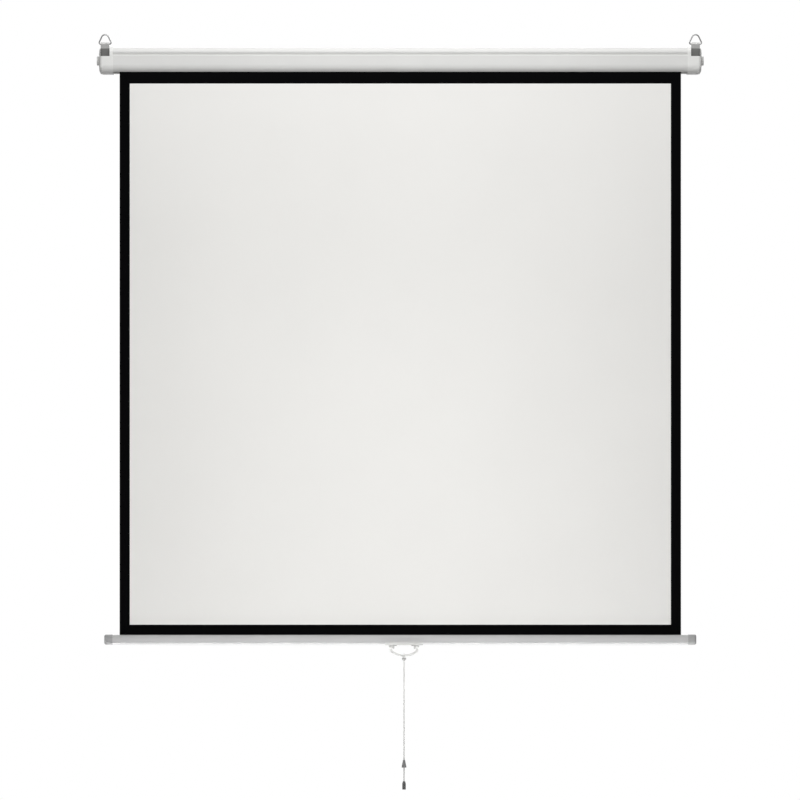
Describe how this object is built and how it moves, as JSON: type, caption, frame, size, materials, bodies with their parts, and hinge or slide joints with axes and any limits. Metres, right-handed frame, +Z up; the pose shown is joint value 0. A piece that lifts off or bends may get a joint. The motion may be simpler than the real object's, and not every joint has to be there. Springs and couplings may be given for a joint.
{
  "type": "projection screen",
  "caption": "Pull-down projection screen with a white casing hung by wire rings, a black-edged white sheet, a weighted bottom bar and a hinged pull handle with a cord.",
  "frame": {"origin": "midway between the two hanging rings, at the height where the hooks bear inside them", "axes": "+X along the casing to the right as seen from the audience, the picture faces -Y, +Z up"},
  "size_m": [1.796, 0.0738, 2.2353],
  "materials": {
    "casing_paint": "white powder coat, satin",
    "cap_plastic": "white moulded plastic, fine grain",
    "strap_steel": "zinc-plated sheet steel",
    "ring_steel": "zinc-plated wire",
    "screw_steel": "zinc-plated",
    "bush_plastic": "natural nylon",
    "roller_steel": "galvanised tube",
    "plug_plastic": "black moulded plastic",
    "spindle_steel": "drawn steel",
    "lock_steel": "sintered steel",
    "spring_steel": "oiled spring wire",
    "screen_vinyl": "matt white projection surface with a black border",
    "border_vinyl": "matt black border",
    "rod_steel": "drawn rod",
    "bar_paint": "silver grey satin coat",
    "bar_cap_plastic": "grey moulded plastic",
    "saddle_plastic": "pale grey moulded plastic",
    "handle_plastic": "white moulded plastic",
    "cord_fibre": "white braided cord",
    "ferrule_plastic": "light grey moulded plastic",
    "bead_plastic": "mid grey moulded plastic",
    "knob_plastic": "dark grey moulded plastic"
  },
  "bodies": {
    "housing": {"casing": "casing_paint", "left_end_cap": "cap_plastic", "right_end_cap": "cap_plastic", "left_hanging_strap": "strap_steel", "right_hanging_strap": "strap_steel", "cap_screws": "screw_steel", "strap_screws": "screw_steel", "idle_bush": "bush_plastic", "spindle_bush": "bush_plastic", "spring_spindle": "spindle_steel", "spring_anchor": "plug_plastic", "torsion_spring": "spring_steel", "ratchet_wheel": "lock_steel", "screen_fabric": "screen_vinyl"},
    "left_ring": {"left_hanging_ring": "ring_steel"},
    "right_ring": {"right_hanging_ring": "ring_steel"},
    "roller": {"roller_tube": "roller_steel", "fabric_roll": "border_vinyl", "lock_plug": "plug_plastic", "idle_plug": "plug_plastic", "idle_pin": "spindle_steel", "pawl_pins": "lock_steel"},
    "pawl_a": {"upper_pawl": "lock_steel"},
    "pawl_b": {"lower_pawl": "lock_steel"},
    "bottom_bar": {"bottom_bar_tube": "bar_paint", "bar_left_cap": "bar_cap_plastic", "bar_right_cap": "bar_cap_plastic", "fabric_hem": "border_vinyl", "hem_rod": "rod_steel", "handle_saddle": "saddle_plastic", "handle_screws": "screw_steel", "handle_pins": "screw_steel"},
    "pull_handle": {"handle_bail": "handle_plastic"},
    "pull_cord": {"cord_loop": "cord_fibre", "cord_ferrule": "ferrule_plastic", "cord_upper": "cord_fibre", "cord_bead": "bead_plastic", "cord_lower": "cord_fibre", "cord_knob": "knob_plastic"}
  },
  "joints": [
    {"name": "screen_lift", "type": "slide", "parent": "housing", "child": "bottom_bar", "axis": [0, 0, 1], "range_m": [0, 1.656], "deforming": ["screen_fabric"]},
    {"name": "roller_turn", "type": "hinge", "parent": "housing", "child": "roller", "pos_m": [0, 0, -0.076], "axis": [-1, 0, 0], "range_deg": [-1, 4321]},
    {"name": "left_ring_swing", "type": "hinge", "parent": "housing", "child": "left_ring", "pos_m": [-0.874, 0, -0.026], "axis": [1, 0, 0], "range_deg": [-90, 90]},
    {"name": "right_ring_swing", "type": "hinge", "parent": "housing", "child": "right_ring", "pos_m": [0.874, 0, -0.026], "axis": [1, 0, 0], "range_deg": [-90, 90]},
    {"name": "upper_pawl_swing", "type": "hinge", "parent": "roller", "child": "pawl_a", "pos_m": [-0.8558, 0, -0.0624], "axis": [1, 0, 0], "range_deg": [0, 15.5]},
    {"name": "lower_pawl_swing", "type": "hinge", "parent": "roller", "child": "pawl_b", "pos_m": [-0.8558, 0, -0.0896], "axis": [1, 0, 0], "range_deg": [0, 15.5]},
    {"name": "handle_swing", "type": "hinge", "parent": "bottom_bar", "child": "pull_handle", "pos_m": [0.011, -0.0203, -1.8103], "axis": [1, 0, 0], "range_deg": [-70, 70]},
    {"name": "cord_swing", "type": "hinge", "parent": "pull_handle", "child": "pull_cord", "pos_m": [0.011, -0.0203, -1.8358], "axis": [1, 0, 0], "range_deg": [-50, 50]}
  ],
  "couplings": [
    {"joint": "roller_turn", "follows": "screen_lift", "rad_per_m": 45.53}
  ]
}
